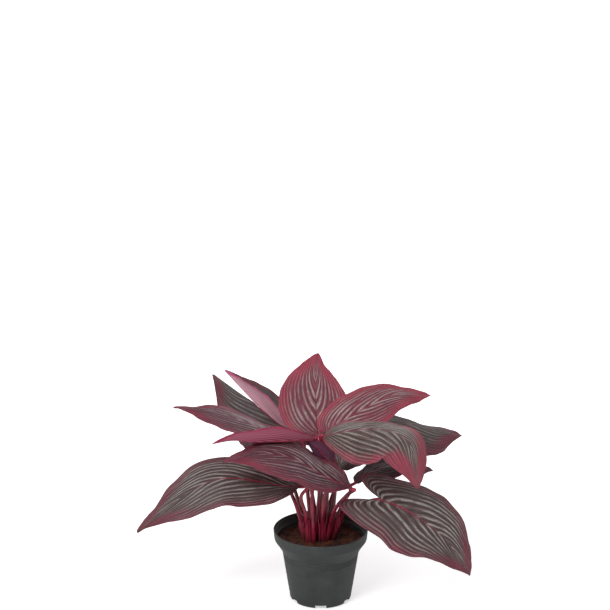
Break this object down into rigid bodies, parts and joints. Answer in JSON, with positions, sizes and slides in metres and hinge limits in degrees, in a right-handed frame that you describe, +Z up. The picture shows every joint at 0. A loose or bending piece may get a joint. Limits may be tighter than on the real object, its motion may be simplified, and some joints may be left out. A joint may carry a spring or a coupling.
{
  "type": "potted hosta plant",
  "caption": "Potted hosta with long crimson stalks and striped grey and crimson leaves in a round nursery pot.",
  "frame": {"origin": "centre of the underside of the pot, on the ground", "axes": "+Z up the middle of the pot, +X to the right seen from the front, +Y away from the front"},
  "size_m": [0.415, 0.2586, 0.2896],
  "materials": {
    "pot_plastic": "satin charcoal plastic",
    "potting_mix": "loose reddish-brown fibre",
    "stalk": "glossy crimson",
    "leaf": "grey and brown stripes with a crimson margin",
    "leaf_underside": "pale pink"
  },
  "bodies": {
    "root": {"crown": "potting_mix", "leaf_back": "leaf", "leaf_back_left": "leaf", "leaf_back_right": "leaf", "leaf_front": "leaf", "leaf_left": "leaf", "leaf_left_folded": "leaf_underside", "leaf_lower_left": "leaf", "leaf_lower_right": "leaf", "leaf_right_back": "leaf", "leaf_right_front": "leaf", "leaf_right_low": "leaf", "leaf_top": "leaf", "leaf_upper_left": "leaf", "leaf_upper_left_folded": "leaf_underside", "leaf_upper_right": "leaf", "leaf_young": "leaf_underside", "pot": "pot_plastic", "potting_mix": "potting_mix", "sheath_left": "stalk", "sheath_lower_left": "stalk", "sheath_lower_right": "stalk", "sheath_young": "stalk", "stalk_back": "stalk", "stalk_back_left": "stalk", "stalk_back_right": "stalk", "stalk_front": "stalk", "stalk_left": "stalk", "stalk_left_folded": "stalk", "stalk_lower_left": "stalk", "stalk_lower_right": "stalk", "stalk_right_back": "stalk", "stalk_right_front": "stalk", "stalk_right_low": "stalk", "stalk_top": "stalk", "stalk_upper_left": "stalk", "stalk_upper_left_folded": "stalk", "stalk_upper_right": "stalk", "stalk_young": "stalk"}
  },
  "joints": []
}
